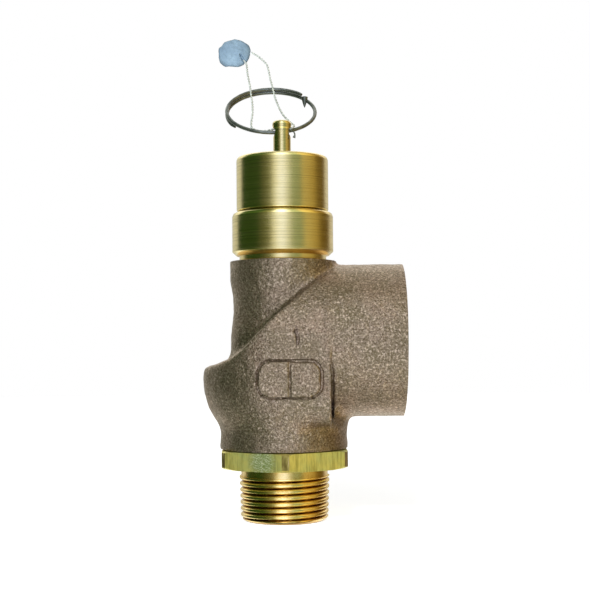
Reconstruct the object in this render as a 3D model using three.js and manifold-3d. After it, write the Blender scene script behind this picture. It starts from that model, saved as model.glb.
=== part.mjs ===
// Pressure relief valve with a bronze body, a brass inlet nozzle, a spring under a brass cap, and a pull ring
// that lifts the disc by hand. Millimetres. The origin is on the valve's axis at the inlet end face, +Z runs
// up the stem, and the outlet points along +X.
import * as THREE from "three";
import { mergeVertices } from "three/addons/utils/BufferGeometryUtils.js";
import Module from "manifold-3d";

const wasm = await Module();
wasm.setup();

// ---------- driving dimensions ----------
const GAP = 0.3; // clearance between neighbouring solids
const TURNED = 32; // segments round a large turned piece
const SMALL = 20; // segments round a small turned piece

const THREAD_PITCH = 25.4 / 14; // 3/4 inch pipe thread, 14 turns to the inch
const THREAD_TAPER = 1 / 32; // growth of the radius per unit of height
const THREAD_R = 12.95; // crest radius at the inlet end
const THREAD_DEPTH = 1.1;
const THREAD_TURNS = 7;
const THREAD_START = 0.45; // height of the lowest crest
const RELIEF_Z = 13.2; // top of the thread
const HEX_Z = 15.75; // underside of the hexagon
const HEX_FLATS = 36.5;
const HEX_CORNER_R = 20.5; // the corners are turned down to this radius
const HEX_TURN = 2; // degrees by which a corner is off the -Y direction
const BODY_Z = 21.3; // underside of the casting

const BARREL_R = 18.6;
const BARREL_SHIFT = -0.1; // the barrel sits this far off the machined axis, along X
const BOWL_R = 23.1;
const CAST_SHIFT = -0.5; // and the chamber this far
const FLAT_RATIO = 0.97; // depth of the chamber over its width
const CREASE_X = 13.6; // where the chamber's straight sides end at the outlet hub
const OUTLET_Z = 52.8;
const OUTLET_X = 35.3;
const HUB_R = 22.35;
const OUTLET_BORE_R = 15.15;
const NECK_R = 15.5;
const NECK_WAIST_R = 14.8;
const NECK_Z = 76.4;
const NECK_BORE_R = 12;
const NOZZLE_BORE_R = 14.3; // the casting's bore round the nozzle
const GUIDE_Z = 62.3; // shoulder that the guide rests on
const GUIDE_R = 11.7;
const PAD_CENTRE = [2.05, 42.05]; // X and Z
const PAD_SIZE = [17.4, 9.7];
const PAD_CORNER_R = 3.4;
const PAD_FACE = 23.2; // the pad's face in front of the axis

const SEAT_Z = 42; // top of the nozzle's seat lip
const SEAT_DISC = [1.8, 8.6, SEAT_Z + GAP, 45.3]; // inner and outer radius, underside and top
const SHANK_R = 4.95; // of the disc holder, in the guide
const PIN_X = 2.65; // the pin that joins stem and holder lies beside the stem's axis
const PIN_Z = 60;

const BONNET_R = 15;
const BONNET_Z = 78.1; // underside of the bonnet's wide cylinder
const BONNET_TOP = 91;
const CAP_R = 13.65;
const CAP_TOP = 107.5;
const BOSS_R = 11.2;

const SPRING_WIRE = 2;
const SPRING_R = 8.6; // mean radius of the coils
const SPRING_Z = [69.1, 89.6];
const STEP_R = 9.8; // flange of the two spring steps
const SCREW_R = 8; // adjusting screw

const STEM_R = 2.6;
const STEM_ROOM_R = 2.95; // bore round the stem in the steps and the screw
const STEM_HEAD_R = 2.85;
const STEM_TOP = 118.5;
const HOLE_Z = 115.3; // the cross hole through the stem
const HOLE_R = 1.4;

const RING_R = 13.5;
const RING_TILT = THREE.MathUtils.degToRad(39.5); // the ring's plane above the horizontal, towards +Y
const RING_OFFSET = -3.5; // the ring's centre along X
const RING_WIRE_R = 0.55;
const RING_STACK = 1.16; // distance between the two layers
const RING_ENDS = [46, 578]; // degrees round the ring at which its wire starts and ends
const RING_SEAT = [-0.33, -0.24]; // the ring's shift up its plane and off it that centres its wire in the hole

const SEAL_WIRE_R = 0.3;
const SEAL_CENTRE = [-15.4, 20.6, 143.9];
const SEAL_SIZE = [5.1, 4.9, 1.8]; // half sizes of the seal
const SEAL_LEAN = 12; // degrees by which its face leans back from the vertical

// ---------- colours ----------
const finish = (color, roughness, metalness) => new THREE.MeshStandardMaterial({ color, roughness, metalness });
const BRONZE = finish(0x8a7766, 0.7, 0.6);
const BRASS = finish(0xc2a13c, 0.28, 1);
const STEEL = finish(0x8d9094, 0.35, 1);
const DARK_STEEL = finish(0x45484a, 0.45, 0.9);
const PTFE = finish(0xeeeeea, 0.5, 0);
const LEAD = finish(0x7f9bb0, 0.6, 0.5);
const PALE_WIRE = finish(0xaebcb4, 0.4, 0.9);

// ---------- helpers ----------
// A closed geometry as a manifold-3d solid.
function solidOf(geometry) {
  const bare = geometry.clone();
  bare.deleteAttribute("normal");
  bare.deleteAttribute("uv");
  const merged = mergeVertices(bare, 1e-4);
  const index = merged.index.array;
  const kept = [];
  for (let i = 0; i < index.length; i += 3) {
    const [a, b, c] = [index[i], index[i + 1], index[i + 2]];
    if (a !== b && b !== c && c !== a) kept.push(a, b, c);
  }
  const vertProperties = new Float32Array(merged.attributes.position.array);
  return new wasm.Manifold(new wasm.Mesh({ numProp: 3, vertProperties, triVerts: new Uint32Array(kept) }));
}

// The solid as a geometry.
function geometryOf(solid) {
  const mesh = solid.getMesh();
  const geometry = new THREE.BufferGeometry();
  geometry.setAttribute("position", new THREE.BufferAttribute(new Float32Array(mesh.vertProperties), 3));
  geometry.setIndex(new THREE.BufferAttribute(new Uint32Array(mesh.triVerts), 1));
  geometry.computeVertexNormals();
  return geometry;
}

// Turns a profile of [radius, height] points about +Z. It runs up the outside and back on the axis or down a
// bore, and closes itself.
function turnedShape(profile, segments) {
  const points = [...profile, profile[0]].map(([r, z]) => new THREE.Vector2(r, z));
  return new THREE.LatheGeometry(points, segments).rotateX(Math.PI / 2);
}

const turned = (profile, segments = TURNED) => solidOf(turnedShape(profile, segments));

// A plain cylinder along +Z.
const rodZ = (radius, z0, z1, segments = TURNED) =>
  turned([[0, z0], [radius, z0], [radius, z1], [0, z1]], segments);

// A plain cylinder along +X, with its axis at y and z.
function rodX(radius, x0, x1, y, z, segments = TURNED) {
  const shape = turnedShape([[0, x0], [radius, x0], [radius, x1], [0, x1]], segments);
  return solidOf(shape.rotateY(Math.PI / 2).translate(0, y, z));
}

// A flat outline of [x, y] points raised from z0 to z1.
function prismShape(outline, z0, z1) {
  const shape = new THREE.Shape(outline.map(([x, y]) => new THREE.Vector2(x, y)));
  return new THREE.ExtrudeGeometry(shape, { depth: z1 - z0, bevelEnabled: false }).translate(0, 0, z0);
}

// An outline of [x, z] points run along Y from y0 to y1.
const slabY = (outline, y0, y1) =>
  solidOf(prismShape(outline, -y1, -y0).rotateX(Math.PI / 2));

// A hexagonal prism, with a flat across the +X direction before it is turned.
function hexagon(flats, z0, z1, turn) {
  const corner = flats / Math.sqrt(3);
  const outline = [];
  for (let i = 0; i < 6; i++) {
    const angle = THREE.MathUtils.degToRad(30 + 60 * i + turn);
    outline.push([corner * Math.cos(angle), corner * Math.sin(angle)]);
  }
  return solidOf(prismShape(outline, z0, z1));
}

// A round wire of 8 sides along a curve.
function wire(curve, radius, steps) {
  const section = new THREE.Shape();
  for (let i = 0; i < 8; i++) {
    const angle = (Math.PI / 4) * i;
    const [x, y] = [radius * Math.cos(angle), radius * Math.sin(angle)];
    if (i === 0) section.moveTo(x, y);
    else section.lineTo(x, y);
  }
  return solidOf(new THREE.ExtrudeGeometry(section, { steps, extrudePath: curve, bevelEnabled: false }));
}

// A curve through the points that a function of 0..1 gives.
class FormulaCurve extends THREE.Curve {
  constructor(place) {
    super();
    this.place = place;
  }
  getPoint(t, target = new THREE.Vector3()) {
    return target.set(...this.place(t));
  }
}

const valve = new THREE.Group();
function add(name, solid, material) {
  const mesh = new THREE.Mesh(geometryOf(solid), material);
  mesh.name = name;
  valve.add(mesh);
}

// ---------- pressure parts ----------
// The casting: barrel, chamber with straight sides, outlet hub and neck, hollowed and bored.
function valveBody() {
  const side = [
    [BARREL_R, BODY_Z], [BARREL_R, 27.9], [19.6, 29.4], [20.8, 31.2], [21.7, 33.9],
    [22.3, 35.6], [22.9, 38.3], [BOWL_R, 41], [BOWL_R, 76],
  ];
  const roundPart = solidOf(
    turnedShape([[0, BODY_Z], ...side, [0, 76]], 36).scale(1, FLAT_RATIO, 1).translate(CAST_SHIFT, 0, 0),
  );
  const straight = side.slice(2).map(([r, z]) => [r * FLAT_RATIO, z]);
  const outline = [...straight.map(([y, z]) => [-y, z]), ...straight.reverse()];
  const straightPart = solidOf(
    prismShape(outline, 0, CREASE_X).rotateX(Math.PI / 2).rotateZ(Math.PI / 2),
  );
  const barrel = rodZ(BARREL_R, BODY_Z, 31, 36).translate([BARREL_SHIFT, 0, 0]);
  const leftOfCrease = [[-30, BODY_Z - 1], [CREASE_X, BODY_Z - 1], [CREASE_X, 90], [-30, 90]];
  // Under the ledge at the left and the slope that rises from it, steep and then flatter, to the hub's top.
  const underSlope = [
    [-30, BODY_Z - 1], [OUTLET_X + 1, BODY_Z - 1], [OUTLET_X + 1, 88.5], [3.6, 65.6], [-13.8, 47.8], [-30, 43.3],
  ];
  const belowAxis = [[-30, BODY_Z - 1], [CREASE_X, BODY_Z - 1], [CREASE_X, OUTLET_Z], [-30, OUTLET_Z]];
  const roundTop = rodX(HUB_R, -30, CREASE_X, 0, OUTLET_Z, 40).add(slabY(belowAxis, -30, 30));
  const hub = rodX(HUB_R, CREASE_X - 1, OUTLET_X, 0, OUTLET_Z, 40);
  const lowerPart = roundPart
    .intersect(slabY(leftOfCrease, -30, 30))
    .add(straightPart)
    .intersect(roundTop)
    .add(hub)
    .intersect(slabY(underSlope, -30, 30));
  const neck = turned([
    [0, 40], [NECK_R, 40], [NECK_R, 55], [NECK_WAIST_R, 60], [NECK_WAIST_R, 66], [NECK_R, 70],
    [NECK_R, NECK_Z - 0.6], [NECK_R - 0.5, NECK_Z], [0, NECK_Z],
  ], 36);
  return lowerPart.add(barrel).add(neck).add(labelPad()).subtract(bodyCavity());
}

// The raised blank pad on the front of the chamber, with round ends and a groove down its middle.
function labelPad() {
  const [x, z] = PAD_CENTRE;
  const [reachX, reachZ] = PAD_SIZE.map((size) => size / 2 - PAD_CORNER_R);
  const outline = [];
  [[1, -1], [1, 1], [-1, 1], [-1, -1]].forEach(([signX, signZ], corner) => {
    for (let i = 0; i <= 4; i++) {
      const angle = THREE.MathUtils.degToRad(90 * corner - 90 + 22.5 * i);
      outline.push([
        x + signX * reachX + PAD_CORNER_R * Math.cos(angle),
        z + signZ * reachZ + PAD_CORNER_R * Math.sin(angle),
      ]);
    }
  });
  const half = 0.4; // half width of the groove
  const groove = [[x - half, z - 9], [x + half, z - 9], [x + half, z + 9], [x - half, z + 9]];
  return slabY(outline, -PAD_FACE, -20).subtract(slabY(groove, -PAD_FACE - 1, 0.5 - PAD_FACE));
}

// The room inside the casting: the nozzle's bore, the chamber, the guide's seat, the bonnet's bore, the outlet.
function bodyCavity() {
  const main = turned([
    [0, BODY_Z - 1], [NOZZLE_BORE_R, BODY_Z - 1], [NOZZLE_BORE_R, 32.3], [17.5, 35], [17.5, 42.3], [12.8, 45.6],
    [12.8, 56], [9.6, 59], [9.6, GUIDE_Z], [NECK_BORE_R, GUIDE_Z], [NECK_BORE_R, NECK_Z + 1], [0, NECK_Z + 1],
  ]);
  const passage = rodX(12.3, 0, 20, 0, 47.2);
  const outlet = rodX(OUTLET_BORE_R, 17, OUTLET_X + 1, 0, OUTLET_Z, 36);
  return main.add(passage).add(outlet);
}

// The inlet nozzle: tapered pipe thread drawn as rings, hexagon, body thread and seat.
function inletNozzle() {
  const crest = (z) => THREAD_R + z * THREAD_TAPER;
  const profile = [[9.5, 0], [11.8, 0]];
  for (let i = 0; i < THREAD_TURNS; i++) {
    const z = THREAD_START + i * THREAD_PITCH;
    const top = z + THREAD_PITCH / 2;
    profile.push([crest(z), z - 0.12], [crest(z), z + 0.12], [crest(top) - THREAD_DEPTH, top]);
  }
  profile.push(
    [THREAD_R - 0.1, RELIEF_Z], [THREAD_R - 0.1, HEX_Z + 1], [NOZZLE_BORE_R - GAP, HEX_Z + 1],
    [NOZZLE_BORE_R - GAP, 32], [10, 32], [10, 40.5], [8.5, 41.2], [8.5, SEAT_Z], [6.75, SEAT_Z], [7, 30], [9.5, 12],
  );
  const turnedPart = turned(profile, TURNED);
  const chamfer = 0.8;
  const lens = turned([
    [9, HEX_Z], [HEX_CORNER_R - 0.3, HEX_Z], [HEX_CORNER_R, HEX_Z + 0.3], [HEX_CORNER_R, BODY_Z - GAP - chamfer],
    [HEX_FLATS / 2 + 0.6, BODY_Z - GAP], [9, BODY_Z - GAP],
  ], 36);
  const bore = rodZ(12, HEX_Z - 1, BODY_Z);
  return turnedPart.add(hexagon(HEX_FLATS, HEX_Z, BODY_Z - GAP, HEX_TURN).intersect(lens).subtract(bore));
}

// ---------- the disc and its guide ----------
function seatDisc() {
  const [inner, outer, low, high] = SEAT_DISC;
  return turned([[inner, low], [outer, low], [outer, high], [inner, high]], SMALL);
}

const discRetainer = () => turned([[1.8, 41.2], [5.3, 41.2], [5.3, SEAT_Z], [1.8, SEAT_Z]], SMALL);

function discScrew() {
  const head = turned([[0, 38.4], [2.9, 38.4], [3.2, 38.8], [3.2, 40.9], [0, 40.9]], SMALL);
  const slot = slabY([[-0.5, 37], [0.5, 37], [0.5, 39.3], [-0.5, 39.3]], -5, 5);
  return head.subtract(slot).add(rodZ(1.5, 40.5, 49.5, SMALL));
}

function discHolder() {
  const [inner, outer, , top] = SEAT_DISC;
  const body = turned([
    [outer + GAP, 42.8], [10.5, 42.8], [10.5, 46.2], [8.2, 47.6], [SHANK_R, 49.6], [SHANK_R, 65.6],
    [STEM_R + GAP, 65.6], [STEM_R + GAP, 55.5], [0, 55.5], [0, 50], [inner, 50], [inner, top + GAP],
    [outer + GAP, top + GAP],
  ], TURNED);
  return body.subtract(pinShape(1.1, 5.2));
}

// A pin along Y beside the stem's axis, where it lies in the stem's groove.
function pinShape(radius, halfLength) {
  const shape = turnedShape([[0, -halfLength], [radius, -halfLength], [radius, halfLength], [0, halfLength]], 16);
  return solidOf(shape.rotateX(Math.PI / 2).translate(PIN_X, 0, PIN_Z));
}

const stemPin = () => pinShape(0.8, 3.4);

const guide = () => turned([
  [SHANK_R + 0.07, 54], [7.5, 54], [7.5, 60.4], [8.6, GUIDE_Z + GAP], [GUIDE_R, GUIDE_Z + GAP], [GUIDE_R, 65.3],
  [SHANK_R + 0.07, 65.3],
], TURNED);

function stem() {
  const solid = turned([
    [0, 55.8], [STEM_R - 0.4, 55.8], [STEM_R, 56.3], [STEM_R, PIN_Z - 1.1], [1.5, PIN_Z - 1.1], [1.5, PIN_Z + 1.1],
    [STEM_R, PIN_Z + 1.1], [STEM_R, 66.2], [4.2, 66.2], [4.2, 68.2], [STEM_R, 68.2], [STEM_R, 116],
    [STEM_HEAD_R, 116.1], [STEM_HEAD_R, STEM_TOP - 0.8], [2.6, STEM_TOP - 0.3], [2, STEM_TOP], [0, STEM_TOP],
  ], SMALL);
  return solid.subtract(rodX(HOLE_R, -5, 5, 0, HOLE_Z, 24));
}

// ---------- spring and adjustment ----------
const lowerSpringStep = () => turned([
  [4.5, 66.4], [STEP_R, 66.4], [STEP_R, SPRING_Z[0] - GAP], [6.8, SPRING_Z[0] - GAP], [6.2, 71.5],
  [STEM_ROOM_R, 71.5], [STEM_ROOM_R, 68.5], [4.5, 68.5],
], SMALL + 4);

const upperSpringStep = () => turned([
  [STEM_ROOM_R, 87.2], [6.2, 87.2], [6.8, SPRING_Z[1] + GAP], [STEP_R, SPRING_Z[1] + GAP], [STEP_R, 91.2],
  [5.5, 92], [STEM_ROOM_R, 92],
], SMALL + 4);

// Five and a half turns of wire, the first and last of them closed up.
function spring() {
  const turns = 5.5;
  const closedPitch = SPRING_WIRE + 0.15;
  const low = SPRING_Z[0] + SPRING_WIRE / 2;
  const high = SPRING_Z[1] - SPRING_WIRE / 2;
  const openPitch = (high - low - 2 * closedPitch) / (turns - 2);
  const height = (turn) => {
    if (turn < 1) return low + closedPitch * turn;
    if (turn > turns - 1) return high - closedPitch * (turns - turn);
    return low + closedPitch + openPitch * (turn - 1);
  };
  const curve = new FormulaCurve((t) => {
    const angle = 2 * Math.PI * turns * t;
    return [SPRING_R * Math.cos(angle), SPRING_R * Math.sin(angle), height(turns * t)];
  });
  return wire(curve, SPRING_WIRE / 2 - 0.02, 66);
}

function adjustingScrew() {
  const solid = turned([
    [STEM_ROOM_R, 92.3], [5.5, 92.3], [SCREW_R, 93.6], [SCREW_R, 103], [7.4, 103.7], [STEM_ROOM_R, 103.7],
  ], SMALL + 4);
  return solid.subtract(slabY([[-0.9, 101.7], [0.9, 101.7], [0.9, 105], [-0.9, 105]], -10, 10));
}

const lockNut = () =>
  hexagon(19, 99.8, 102.6, 12)
    .intersect(turned([[0, 99.8], [10.9, 99.8], [10.9, 102], [10, 102.6], [0, 102.6]], SMALL + 8))
    .subtract(rodZ(SCREW_R + GAP, 99, 103, SMALL + 4));

// The bonnet: thread into the neck, undercut collar, wide cylinder, and the boss that carries cap and screw.
const bonnet = () => turned([
  [10.3, 65.6], [GUIDE_R, 65.6], [GUIDE_R, NECK_Z - 1], [11.3, NECK_Z], [11.3, NECK_Z + GAP], [12.9, NECK_Z + GAP],
  [12.9, BONNET_Z], [BONNET_R - 0.9, BONNET_Z], [BONNET_R, BONNET_Z + 0.9], [BONNET_R, BONNET_TOP - 1.2],
  [BONNET_R - 1.2, BONNET_TOP], [BOSS_R, BONNET_TOP], [BOSS_R, 99], [BOSS_R - 0.5, 99.5], [SCREW_R + GAP, 99.5],
  [SCREW_R + GAP, 93], [10.3, 92.3],
], 36);

const cap = () => turned([
  [BOSS_R + GAP, BONNET_TOP + GAP], [CAP_R - 0.2, BONNET_TOP + GAP], [CAP_R, BONNET_TOP + GAP + 0.2],
  [CAP_R, CAP_TOP - 0.8], [CAP_R - 0.8, CAP_TOP], [STEM_R + GAP, CAP_TOP], [STEM_R + GAP, CAP_TOP - 3],
  [BOSS_R + GAP, CAP_TOP - 3],
], 36);

// ---------- pull ring and seal ----------
// A split ring of one and a half turns that passes through the stem's hole: two layers on most of its round.
function pullRing() {
  const [start, end] = RING_ENDS.map(THREE.MathUtils.degToRad);
  const reach = Math.sqrt(RING_R ** 2 - RING_OFFSET ** 2);
  const across = new THREE.Vector3(1, 0, 0);
  const up = new THREE.Vector3(0, Math.cos(RING_TILT), Math.sin(RING_TILT));
  const normal = across.clone().cross(up);
  const centre = new THREE.Vector3(RING_OFFSET, 0, HOLE_Z)
    .addScaledVector(up, reach + RING_SEAT[0])
    .addScaledVector(normal, RING_SEAT[1]);
  const single = [end - 2 * Math.PI, start + 2 * Math.PI]; // the stretch with one layer
  const curve = new FormulaCurve((t) => {
    const angle = start + (end - start) * t;
    const share = THREE.MathUtils.smoothstep(angle, single[0], single[1]);
    const layer = RING_STACK * (0.5 - share);
    const point = centre.clone()
      .addScaledVector(across, RING_R * Math.cos(angle))
      .addScaledVector(up, RING_R * Math.sin(angle))
      .addScaledVector(normal, layer);
    return point.toArray();
  });
  return wire(curve, RING_WIRE_R, 44);
}

// The sealing wire: out of the seal's lower edge, down to the ring, along it to the stem's hole, through the
// hole, up behind the stem's head and back into the seal's right edge.
const SEAL_WIRE_ROUTE = [
  [-12.3, 20.2, 141.7], [-11.5, 19.2, 140.3], [-11.15, 17.6, 138.9], [-11.0, 15.99, 137.2],
  [-10.64, 14.18, 135.03], [-9.98, 11.7, 131.6], [-9.57, 9.62, 128.7], [-9.15, 7.57, 125.8],
  [-8.94, 6.04, 123.7], [-8.96, 4.4, 121.2], [-9.2, 3.0, 118.9], [-9.1, 1.9, 117.0],
  [-8.2, 1.35, 116.2], [-6.8, 1.0, 115.75], [-5.2, 0.75, 115.6], [-3.8, 0.3, 115.75],
  [-2.4, -0.35, 115.95], [-0.8, -0.6, 116.03], [0.8, -0.62, 116.03], [2.2, -0.7, 116.0],
  [3.1, -0.75, 116.2], [3.6, 0.0, 116.7], [3.55, 1.2, 117.4], [2.9, 2.3, 118.2],
  [2.0, 3.1, 119.1], [0.9, 3.8, 120.3], [-0.27, 4.93, 122.15], [-1.39, 6.9, 124.9],
  [-2.18, 8.59, 127.3], [-2.74, 10.4, 129.8], [-3.13, 11.7, 131.6], [-3.76, 13.52, 134.1],
  [-4.2, 15.32, 136.6], [-4.81, 17.17, 139.2], [-5.61, 18.01, 140.4], [-7.22, 19.36, 142.2],
  [-8.82, 20.32, 143.5], [-9.9, 20.8, 144.1],
];

function sealWireCurve() {
  const points = SEAL_WIRE_ROUTE.map((p) => new THREE.Vector3(...p));
  return new THREE.CatmullRomCurve3(points, false, "centripetal");
}

const sealWire = () => wire(sealWireCurve(), SEAL_WIRE_R, 60);

// A flattened lead pellet, crimped on both ends of the wire, standing on its edge and leaning back.
function leadSeal() {
  const [halfWidth, halfHeight, halfThickness] = SEAL_SIZE;
  const profile = [];
  for (let i = 0; i <= 8; i++) {
    const angle = Math.PI * (i / 8 - 0.5);
    profile.push([Math.cos(angle) ** 0.6, Math.sin(angle)]);
  }
  const pellet = turnedShape(profile.map(([r, z], i) => (i % 8 ? [r, z] : [0, z])), SMALL)
    .scale(halfWidth, halfHeight, halfThickness)
    .rotateX(THREE.MathUtils.degToRad(90 - SEAL_LEAN))
    .translate(...SEAL_CENTRE);
  return solidOf(pellet).subtract(wire(sealWireCurve(), SEAL_WIRE_R + GAP, 60));
}

// ---------- the assembly ----------
add("valve_body", valveBody(), BRONZE);
add("inlet_nozzle", inletNozzle(), BRASS);
add("seat_disc", seatDisc(), PTFE);
add("disc_retainer", discRetainer(), STEEL);
add("disc_screw", discScrew(), STEEL);
add("disc_holder", discHolder(), BRASS);
add("stem_pin", stemPin(), STEEL);
add("guide", guide(), BRASS);
add("stem", stem(), BRASS);
add("lower_spring_step", lowerSpringStep(), BRASS);
add("spring", spring(), STEEL);
add("upper_spring_step", upperSpringStep(), BRASS);
add("adjusting_screw", adjustingScrew(), BRASS);
add("lock_nut", lockNut(), BRASS);
add("bonnet", bonnet(), BRASS);
add("cap", cap(), BRASS);
add("pull_ring", pullRing(), DARK_STEEL);
add("seal_wire", sealWire(), PALE_WIRE);
add("lead_seal", leadSeal(), LEAD);

export default valve;
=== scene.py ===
"""Pressure relief valve: a sand-cast bronze body with turned brass parts, a split pull ring and a lead seal.

Lengths are in millimetres until a mesh is made, where MM turns them into metres.
"""
import math

import bpy
import numpy as np
from mathutils import Matrix, Vector


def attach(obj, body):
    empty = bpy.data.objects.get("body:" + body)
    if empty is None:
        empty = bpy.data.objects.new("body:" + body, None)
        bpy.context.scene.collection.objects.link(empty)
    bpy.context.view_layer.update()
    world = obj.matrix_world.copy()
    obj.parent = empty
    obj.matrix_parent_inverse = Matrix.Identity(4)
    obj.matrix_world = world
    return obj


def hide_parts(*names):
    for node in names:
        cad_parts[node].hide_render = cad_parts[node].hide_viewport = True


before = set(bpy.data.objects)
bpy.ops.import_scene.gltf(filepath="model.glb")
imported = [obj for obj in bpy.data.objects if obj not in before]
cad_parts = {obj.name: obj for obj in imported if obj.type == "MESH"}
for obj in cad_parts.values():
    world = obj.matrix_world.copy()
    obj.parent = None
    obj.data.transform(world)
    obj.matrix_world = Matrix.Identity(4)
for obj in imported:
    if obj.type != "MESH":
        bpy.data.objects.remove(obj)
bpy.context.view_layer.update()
MM = 0.001
X = Vector((1, 0, 0))

# ---------- driving dimensions ----------
GAP = 0.3  # clearance between neighbouring pieces
THREAD_PITCH = 25.4 / 14
THREAD_TAPER = 1 / 32  # growth of the radius per unit of height
THREAD_R = 12.95  # crest radius at the inlet end
THREAD_DEPTH = 1.15
RELIEF_Z = 13.2  # top of the thread
HEX_Z = 15.75  # underside of the hexagon
HEX_FLATS = 36.5
HEX_CORNER_R = 20.5
HEX_TURN = 2  # degrees by which a corner is off the -Y direction
BODY_Z = 21.3  # underside of the casting
BARREL_R = 18.6
BARREL_SHIFT = -0.1  # the barrel sits this far off the machined axis, along X
BOWL_R = 23.1
CAST_SHIFT = -0.5  # and the chamber this far
FLAT_RATIO = 0.97  # depth of the chamber over its width
CREASE_X = 13.6  # where the chamber's straight sides end at the outlet hub
OUTLET_Z = 52.8
OUTLET_X = 35.3
HUB_R = 22.35
OUTLET_BORE_R = 15.15
OUTLET_PITCH = 25.4 / 11.5
NECK_R = 15.5
NECK_Z = 76.4
NECK_BORE_R = 12
NOZZLE_BORE_R = 14.3  # the casting's bore round the nozzle
PAD_CENTRE = (2.05, 42.05)  # X and Z
PAD_SIZE = (17.4, 9.7)
PAD_CORNER_R = 3.4
PAD_FACE = 23.2
SEAT_Z = 42.0
SEAT_DISC = (1.8, 8.6, SEAT_Z + GAP, 45.3)  # inner and outer radius, underside and top
GUIDE_Z = 62.3
GUIDE_R = 11.7
SHANK_R = 4.95  # of the disc holder, in the guide
PIN_X = 2.65
PIN_Z = 60
PIN_R = 1.1
BONNET_R = 15.0
BONNET_Z = 78.1
BONNET_TOP = 91.0
CAP_R = 13.65
CAP_TOP = 107.5
BOSS_R = 11.2
STEP_R = 9.8  # flange of the two spring steps
STEM_R = 2.6
STEM_ROOM_R = 2.95  # bore round the stem in the steps
STEM_HEAD_R = 2.85
STEM_TOP = 118.5
HOLE_Z = 115.3
HOLE_R = 1.4
RING_R = 13.5
RING_TILT = math.radians(39.5)
RING_OFFSET = -3.5
RING_WIRE_R = 0.55
RING_STACK = 1.16  # distance between the two layers
RING_ENDS = (46, 578)  # degrees round the ring at which its wire starts and ends
RING_SEAT = (-0.33, -0.24)  # shift up its plane and off it that centres its wire in the hole
SEAL_CENTRE = Vector((-15.4, 20.6, 143.9))
SEAL_LEAN = math.radians(12)
STRAND_R = 0.17
STRAND_SHIFT = 0.165  # of each strand from the wire's middle
LAY = 2.3  # length of one twist

# The sealing wire's route: out of the seal's lower edge, down to the ring, along it to the stem's hole,
# through the hole, up behind the stem's head and back into the seal's right edge.
SEAL_WIRE_ROUTE = [
    (-12.3, 20.2, 141.7), (-11.5, 19.2, 140.3), (-11.15, 17.6, 138.9), (-11.0, 15.99, 137.2),
    (-10.64, 14.18, 135.03), (-9.98, 11.7, 131.6), (-9.57, 9.62, 128.7), (-9.15, 7.57, 125.8),
    (-8.94, 6.04, 123.7), (-8.96, 4.4, 121.2), (-9.2, 3.0, 118.9), (-9.1, 1.9, 117.0),
    (-8.2, 1.35, 116.2), (-6.8, 1.0, 115.75), (-5.2, 0.75, 115.6), (-3.8, 0.3, 115.75),
    (-2.4, -0.35, 115.95), (-0.8, -0.6, 116.03), (0.8, -0.62, 116.03), (2.2, -0.7, 116.0),
    (3.1, -0.75, 116.2), (3.6, 0.0, 116.7), (3.55, 1.2, 117.4), (2.9, 2.3, 118.2),
    (2.0, 3.1, 119.1), (0.9, 3.8, 120.3), (-0.27, 4.93, 122.15), (-1.39, 6.9, 124.9),
    (-2.18, 8.59, 127.3), (-2.74, 10.4, 129.8), (-3.13, 11.7, 131.6), (-3.76, 13.52, 134.1),
    (-4.2, 15.32, 136.6), (-4.81, 17.17, 139.2), (-5.61, 18.01, 140.4), (-7.22, 19.36, 142.2),
    (-8.82, 20.32, 143.5), (-9.9, 20.8, 144.1),
]


# ---------- camera ----------
def make_camera():
    """Level with the outlet and a little right of the axis, turned up and to the left."""
    data = bpy.data.cameras.new("camera")
    data.sensor_width = 36
    data.lens = 73.3
    data.shift_y = 0.042
    camera = bpy.data.objects.new("camera", data)
    bpy.context.collection.objects.link(camera)
    left = Matrix.Rotation(math.radians(0.6), 4, "Z")
    up = Matrix.Rotation(math.pi / 2 + math.radians(1.19), 4, "X")
    roll = Matrix.Rotation(math.radians(-0.45), 4, "Z")
    camera.matrix_world = Matrix.Translation(Vector((7.2, -357, 51.7)) * MM) @ (left @ up @ roll)
    bpy.context.scene.camera = camera


# ---------- materials ----------
def set_stops(node, stops):
    """Gives a colour ramp its stops, each a position and a colour or a grey level."""
    elements = node.color_ramp.elements
    while len(elements) < len(stops):
        elements.new(0.5)
    for element, (position, color) in zip(elements, stops):
        element.position = position
        element.color = (*color, 1) if isinstance(color, tuple) else (color, color, color, 1)


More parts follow.
